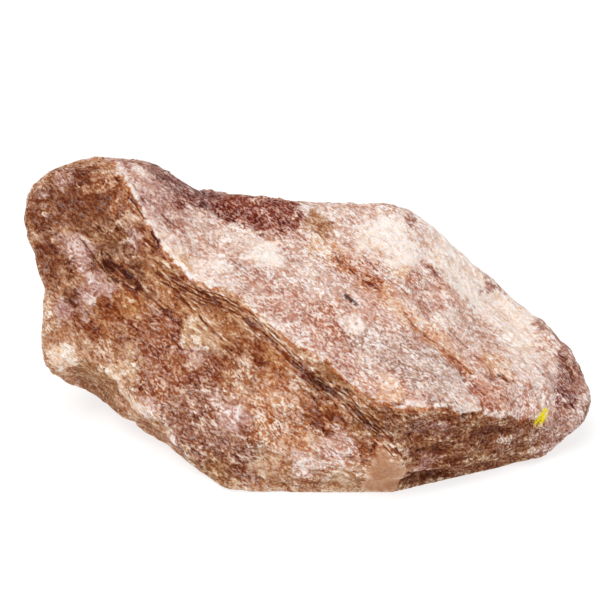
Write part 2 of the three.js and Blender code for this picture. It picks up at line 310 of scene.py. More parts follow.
# what the solid leaves out: a line or a place, how wide it acts, and how far it pushes out or cuts in
mouldings = [
    # the outline: the far rim, both ends and the foot stand out or go in a little
    ([(53, 42, 86), (61, 38, 79), (72, 31, 70), (84, 28, 60),
      (95, 23, 52), (106, 15, 45), (116, 6, 39)], 9, 2.0),
    ([(116, 6, 39), (123, -3, 33), (126, -14, 28), (127, -23, 22), (125, -31, 17)], 10, 2.2),
    ([(-122, 2, 58), (-121, -4, 40)], 7, 1.8), ([(-120, -5, 31), (-118, -4, 27)], 4.5, 2.0),
    ([(-120, -6, 40)], 4, -1.6), ([(-130, 22, 90), (-130, 20, 86)], 6, 1.8),
    ([(-104, -4, 19), (-99, -3, 15), (-92, -9, 14), (-86, -19, 15)], 7, 3.2),
    ([(-73, -34, 13), (-67, -41, 13)], 5, -1.6), ([(56, 40, 83), (62, 37, 79)], 6, 2.2),
    ([(123, -2, 32), (127, -6, 28), (129, -12, 25), (130, -22, 20)], 5, 3.2),
    ([(80, 35, 63), (94, 28, 54)], 7, 0.9),
    ([(128, -26, 18), (121, -35, 12), (109, -42, 6), (103, -45, 5)], 5, 1.6), ([(-33, -62, 1)], 5, 2.0),
    ([(-46, 42, 101), (-46, 52, 98)], 6, -2.4), ([(-6, 40, 96), (0, 40, 96)], 6, -1.4),
    ([(-119, 32, 110)], 8, 2.0), ([(-129, 26, 99)], 7, 0.6), ([(-30, -63, 3)], 6, 1.2),
    # hollows and a rib under the crown
    ([(-101, 7, 86), (-96, 1, 77)], 1.6, -0.7), ([(-91, 5, 81), (-86, -1, 73)], 2.0, -0.8),
    ([(-84, 3, 77), (-78, -4, 72), (-71, -10, 68)], 1.2, -0.8), ([(-81, 6, 81), (-72, -3, 74)], 1.0, 0.7),
    ([(-63, -17, 65), (-55, -26, 60)], 1.1, -0.7), ([(-104, -4, 69), (-104, -6, 58)], 1.1, -1.0),
    ([(-78, 15, 106), (-71, 8, 100), (-66, 2, 94), (-60, -4, 88),
      (-56, -9, 82), (-52, -14, 76)], 1.1, -0.8),
    # cuts in the slab
    (stepLine, 2.2, -0.7), (slabPits[0], 1.2, -1.2), (slabPits[1], 1.2, -1.2), (slabPits[2], 1.2, -1.2),
    ([(-62, 11, 97), (-57, 9, 95)], 1.4, -0.9),
    ([(-50, 34, 101), (-40, 24, 95), (-28, 24, 95), (-18, 19, 91), (-7, 22, 92)], 1.6, -1.0),
    # the shelf on the front, and the lip of the speckled face
    ([(-54, -27, 60), (-47, -31, 59), (-40, -33, 59)], 2.4, 1.0),
    ([(-54, -31, 55), (-47, -35, 54), (-38, -38, 52)], 1.6, -1.1),
    ([(-97, -14, 40), (-84, -26, 36), (-77, -35, 29), (-66, -42, 25)], 2.6, 0.9),
    # beds of the face right of the corner
    ([(50, -66, 33), (68, -62, 29), (98, -48, 22)], 1.5, -0.9),
    ([(48, -68, 24), (70, -61, 20), (98, -47, 13)], 1.4, -1.0),
    ([(48, -69, 13), (60, -64, 13), (70, -60, 8)], 2.0, 1.0), ([(50, -66, 10), (60, -62, 8)], 2.6, -1.2),
]


def nearestOn(points, line):
    # for every point: how far off a line of straight pieces is, its nearest place, and how far along it
    line = np.array(line, float)
    if len(line) == 1:
        line = np.array([line[0], line[0] + (0, 0, 0.1)])  # a single place is a very short line
    best = np.full(len(points), 1e9)
    place = np.zeros_like(points)
    along = np.zeros(len(points))
    for i in range(len(line) - 1):
        way = line[i + 1] - line[i]
        t = np.clip(((points - line[i]) @ way) / (way @ way), 0, 1)
        spot = line[i] + t[:, None] * way
        far = np.linalg.norm(points - spot, axis=1)
        closer = far < best
        best[closer] = far[closer]
        place[closer] = spot[closer]
        along[closer] = (i + t[closer]) / (len(line) - 1)
    return best, place, along


def coordinates(mesh, scale=1000.0):
    # where the points are, in millimetres
    flat = np.zeros(len(mesh.vertices) * 3, np.float32)
    mesh.vertices.foreach_get("co", flat)
    return flat.reshape(-1, 3).astype(float) * scale


def moveTo(mesh, points):
    mesh.vertices.foreach_set("co", points.astype(np.float32).ravel())
    mesh.update()


def normals(mesh):
    flat = np.zeros(len(mesh.vertices) * 3, np.float32)
    mesh.vertex_normals.foreach_get("vector", flat)
    return flat.reshape(-1, 3).astype(float)


def smoothstep(value, low, high):
    t = np.clip((value - low) / (high - low), 0, 1)
    return t * t * (3 - 2 * t)


def remember(mesh, name, values, kind="FLOAT"):
    attribute = mesh.attributes.get(name) or mesh.attributes.new(name, kind, "POINT")
    field = "color" if kind == "FLOAT_COLOR" else "value"
    attribute.data.foreach_set(field, np.ascontiguousarray(values, np.float32).ravel())


def sharpEdgeTree(mesh, angle):
    # a search tree over points on the solid's sharp edges
    points = []
    for edge in mesh.edges:
        if len(edge.link_faces) == 2 and edge.calc_face_angle() > angle:
            a, b = (v.co for v in edge.verts)
            points += [a.lerp(b, t / 4) for t in range(5)]
    found = kdtree.KDTree(len(points))
    for i, point in enumerate(points):
        found.insert(point, i)
    found.balance()
    return found


def evaluated(stone):
    # the mesh of an object with its modifiers applied
    mesh = bpy.data.meshes.new_from_object(stone.evaluated_get(bpy.context.evaluated_depsgraph_get()))
    stone.modifiers.clear()
    stone.data = mesh
    return mesh


def inOrder(mesh):
    # sorts the points and faces of the voxel grid, because their order differs from run to run
    points = coordinates(mesh, 1.0)
    faces = np.zeros(len(mesh.loops), np.int32)
    mesh.loops.foreach_get("vertex_index", faces)
    order = np.lexsort(points.T)
    rank = np.argsort(order)
    faces = rank[faces.reshape(-1, 4)]
    turn = (faces.argmin(1)[:, None] + np.arange(4)) % 4
    faces = np.take_along_axis(faces, turn, 1)
    faces = faces[np.lexsort(faces.T[::-1])]
    ordered = bpy.data.meshes.new("halite_block")
    ordered.from_pydata(points[order].tolist(), [], faces.tolist())
    return ordered


def onFacet(points):
    # 1 on the smooth facet, 0 off it, with a narrow border
    inside = np.full(len(points), 9.0)
    for (x, z), (nextX, nextZ) in zip(facetOutline, facetOutline[1:] + facetOutline[:1]):
        side = (points[:, 2] - z) * (nextX - x) - (points[:, 0] - x) * (nextZ - z)
        inside = np.minimum(inside, -side / math.hypot(nextX - x, nextZ - z))
    return smoothstep(inside, -0.6, 0.8) * (points[:, 1] < -60)


def edgeBevel(points):
    # the slab's broken edge slopes in from the ridge to the joint: how far each point moves in
    down = np.array(ridgeFront)
    distance, spot, along = nearestOn(points, jointLine)
    above = (spot - points) @ down
    below = (points - nearestOn(points, ridgeLine)[1]) @ down
    share = np.clip(below, 0, None) / (np.clip(below, 0, None) + np.clip(above, 0, None) + 0.01)
    share = np.where(above > 0, share, np.exp(-((above / 1.3) ** 2)))
    ends = smoothstep(along, 0.1, 0.28) * (1 - smoothstep(along, 0.86, 1))
    return block["bevel"] * share * ends * (1 - smoothstep(distance, 10, 16))


def mould(mesh):
    # pushes out and cuts in along the lines of mouldings, and marks the cuts, which the finish paints
    # darker as shade
    points, facing = coordinates(mesh), normals(mesh)
    out = np.zeros(len(points))
    cut = np.zeros(len(points))
    for line, reach, push in mouldings:
        profile = np.exp(-((nearestOn(points, line)[0] / reach) ** 2))
        out += profile * push
        if push < 0:
            cut = np.maximum(cut, profile)
    shift = facing * out[:, None] + np.outer(edgeBevel(points), block["bevelWay"])
    shift[:, 2] *= smoothstep(points[:, 2], 0, 3)  # the base stays flat
    remember(mesh, "cut", cut)
    moveTo(mesh, (points + shift) / 1000)


def markGrid(mesh, sharpEdges):
    # what the relief needs to know: how near a sharp edge is, and where the surface is calm or rough
    points = coordinates(mesh)
    far = np.array([sharpEdges.find(Vector(p) * mm)[2] for p in points]) * 1000
    lowerRidge = ridgeLine[7:]  # from the foot of the crown to the tip
    far = np.minimum(far, nearestOn(points, lowerRidge)[0])
    remember(mesh, "sharpness", 1 - smoothstep(far, 1.0, 4.5))
    remember(mesh, "calm", onFacet(points))
    below = (points - nearestOn(points, ridgeLine)[1]) @ np.array(ridgeFront)
    leftEnd = smoothstep(-points[:, 0], 78, 100)
    remember(mesh, "rough", 0.8 + 0.2 * smoothstep(below, -1, 1) - 0.4 * leftEnd)


def lineObject(name, line):
    # a helper that the relief's tree measures distances from
    mesh = bpy.data.meshes.new(name)
    mesh.from_pydata([Vector(p) * mm for p in line], [(i, i + 1) for i in range(len(line) - 1)], [])
    helper = bpy.data.objects.new(name, mesh)
    bpy.context.scene.collection.objects.link(helper)
    return helper


def brokenPlates(g, along, size):
    # plates of salt that broke away leave low steps: level treads with risers between
    torn = g.noise(along, size["plate"], 3.0, 0.52) * size["plateSteps"]
    part = g.math("FRACT", torn)
    steps = torn - part + g.ramp(part, 0.7, 1.0) - 0.5
    return (steps - size["plateSteps"] * 0.5) * size["plateOut"]


def ledges(g, height, thickness, out):
    step = g.math("PINGPONG", height, thickness)
    step = g.ramp(step / thickness, 0.3, 0.55)
    return (step - 0.5) * out


def bedLedges(g, p, height, normal, size):
    # beds show as ledges wherever a face cuts across them
    across = 1 - g.vector("DOT_PRODUCT", normal, tuple(bedUp)) ** 2
    across = g.math("MULTIPLY", across, 1.0, clamp=True)
    patchy = g.ramp(g.noise(p, 21.0, 2.0), 0.4, 0.62)
    return ledges(g, height, size["ledge"], size["ledgeOut"]) * (0.3 + 0.7 * patchy) * across


def openJoint(g, place, p, height, joint, size):
    # the open joint: thin leaves above and below it, and the slot itself
    line = g.put("GeometryNodeObjectInfo", {"transform_space": "ORIGINAL"}, {0: joint}, "Geometry")
    source = g.vector("ADD", place, g.bend(p, 9.0, 0.0022, 2.0))
    nearest = {"Geometry": line, "Sample Position": source}
    near = g.put("GeometryNodeProximity", {"target_element": "EDGES"}, nearest, "Distance") * 1000.0
    leaves = ledges(g, height, size["leaf"], size["leafOut"]) * (1 - g.ramp(near, 1.5, 7.5))
    gape = g.ramp(g.noise(p, 11.0, 1.0), 0.36, 0.6, 0.3, 1.0)
    slot = -1 * size["jointDepth"] * gape * (1 - g.ramp(near, 0.0, size["jointWidth"]))
    return leaves, slot


def crystalBlocks(g, p, along, size):
    # blocky cells, because halite cleaves into cubes
    turn = {"Vector": along, "Rotation": (0.5, 0.35, 0.6)}
    turned = g.put("ShaderNodeVectorRotate", {"rotation_type": "EULER_XYZ"}, turn)
    turned = g.vector("ADD", turned, g.bend(p, 4.0, 1.6, 2.0))
    inside = {"Vector": turned, "Scale": 1 / size["crystal"]}
    inside = g.put("ShaderNodeTexVoronoi", {"feature": "F1", "distance": "CHEBYCHEV"}, inside, "Distance")
    return (0.4 - inside) * size["crystalOut"]


def reliefTree(material, joint):
    tree = bpy.data.node_groups.new("block relief", "GeometryNodeTree")
    g = Graph(tree)
    tree.interface.new_socket("Geometry", in_out="INPUT", socket_type="NodeSocketGeometry")
    for name in relief:
        kind = "NodeSocketInt" if name == "smoothing" else "NodeSocketFloat"
        tree.interface.new_socket(name, in_out="INPUT", socket_type=kind)
    tree.interface.new_socket("Geometry", in_out="OUTPUT", socket_type="NodeSocketGeometry")
    entry = tree.nodes.new("NodeGroupInput")
    size = {name: Signal(g, entry.outputs[name]) for name in relief}

    # the solid's facets are softened, except close to its sharp edges
    place = g.put("GeometryNodeInputPosition")
    soft = {"Value": place, "Iterations": size["smoothing"], "Weight": 1 - 0.85 * g.stored("sharpness")}
    soft = g.put("GeometryNodeBlurAttribute", {"data_type": "FLOAT_VECTOR"}, soft)
    stone = {"Geometry": Signal(g, entry.outputs[0]), "Position": soft}
    stone = g.put("GeometryNodeSetPosition", {}, stone)

    normal = g.put("GeometryNodeInputNormal")
    p = g.vector("SCALE", place, 1000.0)  # millimetres
    along = g.squeeze(p, ridgeWay, 2.0)
    sway = (g.noise(p, 46.0, 1.0) - 0.5) * 13.0 + (g.noise(p, 12.0, 2.0) - 0.5) * 2.6
    height = g.vector("DOT_PRODUCT", p, tuple(bedUp)) + sway
    grains = (g.noise(along, size["grain"], 2.0, 0.6) - 0.5) * size["grainOut"] * 2.0
    fine = brokenPlates(g, along, size) + crystalBlocks(g, p, along, size) + grains
    fine = fine + bedLedges(g, p, height, normal, size)
    fine = fine * (1 - (1 - block["facetLeft"]) * g.stored("calm")) * g.stored("rough")
    swell = (g.noise(p, 17.0, 2.0) - 0.5) * 1.2
    leaves, slot = openJoint(g, place, p, height, joint, size)
    aboveBase = g.put("ShaderNodeSeparateXYZ", {}, {0: p}, "Z")
    out = (fine + swell + leaves + slot) * g.ramp(aboveBase, 0.3, 5.0)
    shift = g.vector("SCALE", normal, out * 0.001)
    stone = g.put("GeometryNodeSetPosition", {}, {"Geometry": stone, "Offset": shift})

    stone = g.put("GeometryNodeRealizeInstances", {}, {0: stone})
    stone = g.put("GeometryNodeSetMaterial", {}, {"Geometry": stone, "Material": material})
    leave = tree.nodes.new("NodeGroupOutput")
    tree.links.new(stone.socket, leave.inputs[0])
    return tree


def standing(mesh, points, facing, rounds):
    # how far each point stands out of its smoothed surroundings, in millimetres
    pairs = np.zeros(len(mesh.edges) * 2, np.int32)
    mesh.edges.foreach_get("vertices", pairs)
    a, b = pairs.reshape(-1, 2).T
    count = np.bincount(np.concatenate([a, b]), minlength=len(points))
    smooth = points.copy()
    for _ in range(rounds):
        for axis in range(3):
            values = smooth[:, axis]
            total = np.bincount(a, values[b], len(points)) + np.bincount(b, values[a], len(points))
            smooth[:, axis] = total / count
    return ((points - smooth) * facing).sum(1)


def markStanding(mesh):
    # edges that stand proud and hollows, at two scales: the finish paints the edges lighter as highlights
    # and the hollows darker as shade
    points, facing = coordinates(mesh), normals(mesh)
    out = standing(mesh, points, facing, 24) + 1.5 * standing(mesh, points, facing, 4)
    remember(mesh, "edge", smoothstep(out, 0.2, 0.8))
    remember(mesh, "hollow", smoothstep(-out, 0.15, 0.9))


def fitToSolid(mesh):
    # the finished surface keeps the solid's box
    points = coordinates(mesh, 1.0)
    low, high = points.min(0), points.max(0)
    low[2] = min(low[2], cadLow[2])
    solidLow, solidHigh = np.array(cadLow), np.array(cadHigh)
    moveTo(mesh, solidLow + (points - low) / (high - low) * (solidHigh - solidLow))


def makeBlock(material):
    solid = bmesh.new()
    solid.from_mesh(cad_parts["halite"].data)
    bmesh.ops.remove_doubles(solid, verts=solid.verts, dist=1e-6)
    sharpEdges = sharpEdgeTree(solid, math.radians(block["sharpAngle"]))
    mesh = bpy.data.meshes.new("halite_block")
    solid.to_mesh(mesh)
    solid.free()

    stone = bpy.data.objects.new("halite_block", mesh)
    bpy.context.scene.collection.objects.link(stone)
    remesh = stone.modifiers.new("grid", "REMESH")
    remesh.mode = "VOXEL"
    remesh.voxel_size = block["voxel"] * mm
    mesh = inOrder(evaluated(stone))
    stone.data = mesh
    markGrid(mesh, sharpEdges)
    mould(mesh)

    joint = lineObject("joint line", jointLine)
    tree = reliefTree(material, joint)
    surface = stone.modifiers.new("relief", "NODES")
    surface.node_group = tree
    for name, value in relief.items():
        surface[socketId(tree, name)] = value
    mesh = evaluated(stone)
    bpy.data.objects.remove(joint)
    markStanding(mesh)

    thin = stone.modifiers.new("thin out", "DECIMATE")
    thin.ratio = min(1, block["faces"] / sum(len(poly.vertices) - 2 for poly in mesh.polygons))
    mesh = evaluated(stone)
    fitToSolid(mesh)
    mesh.name = "halite_block"
    return stone


# tones of the salt: screen colour, share of white flecks, and how strong the grain is
tones = {
    "white": ((248, 236, 229), 0.6, 0.4),
    "ivory": ((240, 222, 211), 0.6, 0.5),
    "blush": ((232, 209, 199), 0.6, 0.7),
    "cream": ((233, 203, 178), 0.45, 0.6),
    "petal": ((220, 190, 177), 0.5, 0.65),
    "shell": ((222, 182, 156), 0.3, 0.55),
    "pink": ((212, 173, 158), 0.45, 0.6),
    "sand": ((204, 167, 136), 0.2, 0.45),
    "greyRose": ((204, 176, 165), 0.4, 0.7),
    "rose": ((202, 151, 130), 0.35, 0.6),
    "apricot": ((199, 147, 112), 0.3, 0.6),
    "orange": ((188, 116, 70), 0.1, 0.3),
    "copper": ((195, 136, 101), 0.2, 0.6),
    "lilac": ((194, 154, 143), 0.2, 0.35),
    "peach": ((185, 136, 105), 0.1, 0.15),
    "tan": ((182, 133, 100), 0.2, 0.35),
    "mauve": ((172, 126, 112), 0.12, 0.4),
    "honey": ((175, 121, 82), 0.1, 0.3),
    "amber": ((172, 111, 66), 0.05, 0.25),
    "clay": ((163, 103, 72), 0.3, 0.44),
    "cocoa": ((158, 107, 83), 0.27, 0.44),
    "sienna": ((154, 92, 57), 0.15, 0.3),
    "khaki": ((158, 109, 72), 0.1, 0.3),
    "chestnut": ((144, 84, 51), 0.1, 0.25),
    "maroon": ((147, 80, 60), 0.25, 0.5),
    "dusk": ((139, 84, 75), 0.3, 0.5),
    "plum": ((144, 92, 82), 0.22, 0.5),
    "rust": ((142, 77, 39), 0.1, 0.24),
    "umber": ((125, 68, 38), 0.1, 0.18),
    "olive": ((132, 79, 47), 0.05, 0.2),
    "bark": ((139, 86, 54), 0.05, 0.28),
    "night": ((98, 57, 33), 0.0, 0.3),
}

# where each tone shows: tone, place in millimetres and reach, then how much longer it is along the grain
# and its weight, both of them 1 where they aren't given
slabSwatches = [
    ("pink", (0, -10, 76), 90, 1.5, 0.12),
    # crown flank
    ("petal", (-80, 25, 114), 4, 1.2, 1.2), ("lilac", (-66, 18, 103), 8, 1.3), ("blush", (-71, 12, 102), 3),
    ("lilac", (-88, 33, 117), 5, 1.2), ("maroon", (-60, 25, 103), 4, 1.6, 0.9),
    ("mauve", (-74, 38, 111), 5, 1.8), ("plum", (-62, 38, 106), 6, 1.6, 1.2),
    ("plum", (-50, 34, 102), 5, 1.8, 1.2), ("dusk", (-47, 47, 99), 7, 1.5, 1.3),
    ("sienna", (-62, 10, 97), 2, 1, 1.5), ("white", (-63, -2, 89), 2.6, 2, 1.2),
    ("petal", (-56, 4, 91), 6, 1.5, 1.1), ("cream", (-56, -5, 85), 4, 2, 1.3),
    ("blush", (-45, -12, 81), 8, 1.6, 1.2), ("petal", (-44, 6, 90), 8, 1.4, 0.9),
    ("rose", (-50, 2, 89), 2, 1.5, 1.4), ("rose", (-58, 11, 95), 3, 1.5, 1.2),
    ("white", (-44, -3, 86), 2.4, 1.4, 1.3), ("white", (-50, -11, 82), 3, 2, 1.2),
    # upper slab and the broken bed above it
    ("white", (-38, -5, 84), 3, 1, 1.2), ("white", (-18, 4, 85), 6, 1.3, 1.2),
    ("greyRose", (-30, -6, 84), 2.2, 1.5, 1.4), ("blush", (-30, 8, 88), 7, 1.5, 0.8),
    ("maroon", (-38, 31, 98), 5, 1.2, 1.6), ("maroon", (-30, 30, 97), 7, 1.2, 1.6),
    ("maroon", (-11, 29, 96), 7, 1.3, 1.6), ("maroon", (-20, 26, 95), 7, 1.3, 1.4),
    ("blush", (2, 34, 95), 5), ("petal", (14, 36, 93), 6), ("tan", (8, 24, 90), 5, 1.6, 0.8),
    ("petal", (20, 27, 88), 7, 1.2), ("cream", (6, 11, 84), 4, 1.2), ("petal", (-2, -4, 79), 9, 1.5, 0.8),
    ("pink", (-14, -22, 74), 8, 1.4, 0.9), ("rose", (9, -26, 67), 7, 1.5),
    # the rusty step that runs down the slab
    ("copper", (18, 5, 79), 4, 1.5, 1.3), ("shell", (12, 14, 83), 4, 1.4),
    ("copper", (29, -4, 73), 3.4, 2, 1.1), ("shell", (40, -12, 68), 4, 2, 1.1),
    ("shell", (48, -19, 64), 4, 1.8, 1.1), ("shell", (61, -27, 56), 4, 1.8, 1.2),
    ("copper", (67, -35, 50), 3.2, 2, 1.1), ("rose", (81, -50, 41), 6, 1.3, 1.1),
    # right of the step
    ("ivory", (31, 20, 83), 6, 1.2, 1.1), ("white", (42, 21, 82), 9, 1.3, 1.2),
    ("blush", (55, 31, 81), 8, 1.2, 1.1), ("mauve", (51, 36, 86), 4, 1, 1.5),
    ("mauve", (62, 15, 70), 2, 1.4, 1.5), ("mauve", (90, 26, 55), 3.4, 1.2, 1.4),
    ("mauve", (111, 9, 43), 3.4, 1, 1.4), ("lilac", (110, -22, 38), 3, 1.6, 1.1),
    ("ivory", (70, 27, 70), 9, 1.3, 1.1), ("white", (80, 14, 60), 6, 1.5, 1.1),
    ("ivory", (97, 15, 49), 9, 1.3), ("apricot", (36, 13, 80), 3, 1, 1.6),
    ("cream", (46, 7, 75), 4, 1.3, 0.9), ("pink", (55, -3, 65), 7, 1.2, 1.1),
    ("blush", (63, -13, 59), 4, 1.2, 1.2), ("petal", (81, -9, 50), 9, 1.2),
    ("shell", (86, -29, 45), 5, 1.2, 1.2), ("rust", (87, -35, 43), 1.4, 2, 1.6),
    ("blush", (103, -23, 41), 8), ("ivory", (100, -6, 44), 7),
    # lower slab
    ("sienna", (39, -62, 45), 2.6, 1.4, 1.6), ("greyRose", (57, -47, 51), 10, 1.5, 0.9),
    ("blush", (72, -57, 42), 5, 1.8), ("greyRose", (35, -37, 57), 8, 1.4, 0.8),
    ("shell", (36, -56, 48), 4, 1.6), ("white", (20, -27, 64), 3, 1.4),
]
frontSwatches = [
    ("tan", (-40, -40, 50), 120, 1.5, 0.1),
    # left end and crown
    ("umber", (-126, 22, 95), 8), ("lilac", (-122, 28, 104), 1.2, 1, 2),
    ("lilac", (-120, 19, 93), 1.2, 1, 2), ("lilac", (-121, 23, 98), 1.2, 1, 2),
    ("umber", (-102, 20, 104), 9, 1.5), ("sienna", (-95, 22, 108), 5), ("sienna", (-86, 18, 107), 5, 1.3),
    ("tan", (-90, 33, 116), 4), ("mauve", (-112, 28, 110), 3.5), ("olive", (-95, 11, 93), 7, 1.5, 1.1),
    ("mauve", (-113, 12, 87), 3, 1, 1.1), ("chestnut", (-73, 2, 90), 5, 1.6, 1.1),
    ("lilac", (-78, 4, 91), 3, 1.6), ("umber", (-118, 8, 78), 7), ("honey", (-66, -7, 80), 7, 1.3, 1.2),
    ("honey", (-58, -16, 70), 6, 1.3, 1.2),
    # the hollows under the crown: the olive tones there are painted shade
    ("olive", (-90, 3, 78), 3, 1.7, 1.2), ("olive", (-97, 3, 80), 2, 2, 1.2),
    ("tan", (-93, 3, 80), 2.2, 1.6, 1.6), ("lilac", (-105, 8, 85), 3.2, 1.6, 1.5),
    ("lilac", (-100, 2, 79), 3, 1.6, 1.5), ("olive", (-77, -2, 74), 4, 2.2),
    # middle of the left end
    ("rust", (-92, -7, 63), 4.6, 1, 1.3), ("rust", (-92, -11, 56), 6, 1.1, 1.4),
    ("amber", (-81, -11, 66), 5, 1.2), ("lilac", (-103, -5, 67), 2.2, 1, 1.5),
    ("lilac", (-102, -7, 60), 2, 1, 1.5), ("lilac", (-97, -4, 71), 2.4, 1.5, 1.3),
    ("lilac", (-90, -4, 71), 2.4, 1.5, 1.3), ("lilac", (-113, -1, 57), 4, 1, 1.1),
    ("umber", (-108, -3, 64), 3), ("cream", (-111, -10, 39), 4, 1, 1.1), ("chestnut", (-106, -6, 52), 3.4),
    ("tan", (-101, -13, 45), 3.5), ("tan", (-95, -17, 44), 5), ("clay", (-63, -22, 59), 6, 1.2),
    ("sienna", (-75, -19, 58), 5, 1.2),
    # lower edge of the left end: the cream, ivory and white along its lip are painted highlights
    ("cream", (-115, -8, 36), 3, 1.6, 1.3), ("ivory", (-110, -11, 37), 2.6, 1.2, 1.4),
    ("tan", (-114, -4, 47), 4), ("khaki", (-98, -17, 33), 5, 1.4, 1.1),
    ("khaki", (-92, -18, 27), 5, 1.4, 1.2), ("khaki", (-98, -10, 20), 8, 1.2), ("tan", (-113, -3, 22), 6),
    ("cream", (-87, -24, 36), 3, 1.2, 1.2), ("cream", (-83, -29, 29), 2.6, 1.3, 1.3),
    ("cream", (-76, -36, 26), 2.6, 1.5, 1.2), ("white", (-73, -38, 24), 1.8, 1, 1.6),
    ("sand", (-67, -42, 22), 3, 1.4, 1.2), ("petal", (-60, -47, 20), 2.4, 1.4, 1.4),
    ("petal", (-68, -39, 29), 4, 1.2), ("sand", (-80, -25, 42), 5, 1.2),
    # the speckled middle
    ("clay", (-62, -33, 43), 12, 1.2), ("cocoa", (-51, -45, 30), 11, 1.2),
    ("cocoa", (-49, -53, 20), 9, 1.2), ("sand", (-52, -53, 15), 3), ("khaki", (-40, -59, 9), 7, 1.3),
    ("cocoa", (-31, -60, 19), 9, 1.3), ("sand", (-52, -30, 59), 4, 1.5, 1.2),
    ("sand", (-42, -32, 60), 4, 1.3, 1.2), ("petal", (-50, -34, 51), 3.4, 1.4, 1.1),
    ("sienna", (-34, -40, 49), 6, 1.2, 1.3), ("lilac", (-31, -54, 33), 6, 1.2),
    ("petal", (-40, -46, 37), 3, 1.3),
    # between the joint and the ridge
    ("honey", (-40, -24, 68), 6, 1.6), ("honey", (-33, -33, 62), 6, 1.4),
    ("rust", (-26, -38, 58), 4, 2.2, 1.5), ("tan", (-20, -34, 68), 4, 2), ("tan", (-8, -42, 62), 4, 2),
    ("tan", (3, -47, 58), 4, 2), ("khaki", (12, -54, 51), 4, 2), ("tan", (22, -60, 47), 4, 2),
    ("khaki", (31, -66, 40), 4, 1.8),
    # below the joint
    ("tan", (-27, -45, 48), 6, 1.5, 0.9), ("amber", (-13, -46, 54), 6, 1.4),
    ("clay", (-3, -52, 50), 5, 1.2), ("tan", (-6, -50, 54), 3, 2, 1.2), ("khaki", (4, -55, 49), 3, 2, 1.2),
    ("tan", (15, -62, 43), 3, 2, 1.1), ("khaki", (25, -68, 35), 3, 2, 1.1),
    ("rust", (7, -60, 40), 7, 1.2, 1.4), ("sienna", (26, -70, 26), 7, 1.3),
    ("apricot", (-15, -54, 41), 12, 1.2, 0.9), ("petal", (4, -60, 35), 2.2, 2.2),
    ("pink", (15, -68, 25), 6, 1.1, 1.1), ("apricot", (-9, -60, 29), 9, 1.2, 0.9),
    ("apricot", (27, -70, 14), 5, 1, 1.1),
    # foot
    ("sand", (-20, -63, 15), 5, 1.4), ("petal", (0, -67, 16), 6, 1.1), ("tan", (-7, -66, 5), 8, 1.2),
    ("sand", (18, -67, 5), 7, 1, 0.9),
]
rightSwatches = [
    ("bark", (80, -56, 22), 90, 1, 0.2), ("chestnut", (51, -65, 43), 4, 1.5),
    ("rust", (62, -62, 41), 4, 1.5, 0.9), ("cocoa", (52, -65, 35), 5, 1, 0.9), ("bark", (56, -65, 28), 6),
    ("bark", (60, -65, 26), 4, 1, 0.7), ("bark", (77, -58, 28), 8, 1, 0.8),
    ("night", (98, -48, 25), 1.5, 1, 1.8), ("mauve", (53, -64, 34), 3, 1.4, 1.1),
    ("mauve", (60, -64, 32), 3, 1.4, 1.1), ("mauve", (54, -67, 20), 3.4, 1.4, 1.1),
    ("mauve", (50, -69, 15), 2.2, 1, 1.4), ("olive", (51, -61, 6), 4, 1, 1.2),
    ("sand", (40, -69, 32), 2.2, 1, 1.5), ("lilac", (43, -71, 25), 2, 1, 1.4),
    ("olive", (68, -62, 15), 5, 1, 0.7), ("khaki", (78, -59, 13), 5, 1, 0.7), ("bark", (53, -60, 4), 7),
    ("cocoa", (106, -43, 12), 6), ("clay", (98, -47, 27), 3, 1, 1.2), ("cocoa", (90, -52, 20), 5, 1, 0.7),
]
tipSwatches = [
    ("mauve", (120, -20, 25), 60, 1, 0.25), ("plum", (118, -22, 32), 6, 1, 1.4),
    ("plum", (117, -31, 27), 5, 1, 1.3), ("mauve", (120, -5, 36), 5, 1, 1.1), ("cocoa", (124, -12, 32), 4),
    ("lilac", (131, -17, 22), 4, 1, 1.2), ("mauve", (119, -36, 16), 7), ("lilac", (124, -33, 20), 4),
    ("mauve", (114, 12, 43), 5), ("mauve", (112, -38, 20), 4),
]
backSwatches = [
    ("tan", (0, 70, 50), 200, 1, 0.1), ("pink", (-40, 65, 80), 25), ("rust", (-70, 60, 50), 18, 1.4),
    ("lilac", (-100, 50, 40), 18), ("maroon", (-20, 62, 95), 14, 1.5), ("petal", (-30, 72, 45), 12, 2),
    ("maroon", (-45, 48, 99), 10, 1.5, 1.5), ("apricot", (0, 75, 55), 16, 1.4),
    ("cocoa", (-60, 60, 15), 20, 1.2), ("petal", (30, 70, 65), 12, 1.8), ("rose", (45, 65, 40), 18, 1.3),
    ("honey", (15, 72, 20), 18, 1.4), ("mauve", (70, 45, 35), 16, 1.2), ("petal", (85, 30, 45), 10, 1.2),
    ("umber", (90, 30, 12), 16, 1.2), ("sienna", (-110, 48, 75), 14), ("dusk", (115, 5, 25), 12),
    ("khaki", (-95, 50, 100), 12),
]

# how the tones meet
borders = {
    "seed": 5,
    "crispness": 3.2,
    "fade": 1.1,  # how fast a tone's hold fades across its reach
    "ragged": 1.4,  # how much the rough fields count against distance
    "turbulence": 6.0,  # millimetres
    "specks": 1.1,  # to a millimetre
    "speckShare": 0.5,
}


def roughFields(points):
    # six unrelated rough fields, which make the borders between tones ragged
    noise.seed_set(borders["seed"])
    fields = []
    for shift in (0, 90):
        away = Vector((shift, 0, 0))
        wave, specks = borders["turbulence"], borders["specks"]
        rough = np.array([noise.turbulence_vector(Vector(p) / wave + away, 4, False) for p in points])
        grain = np.array([noise.cell_vector(Vector(p) * specks + away) for p in points])
        rough = (rough - rough.mean(0)) / rough.std(0)
        grain = (grain - grain.mean(0)) / grain.std(0)
        fields += list((rough + grain * borders["speckShare"]).T)
    return fields


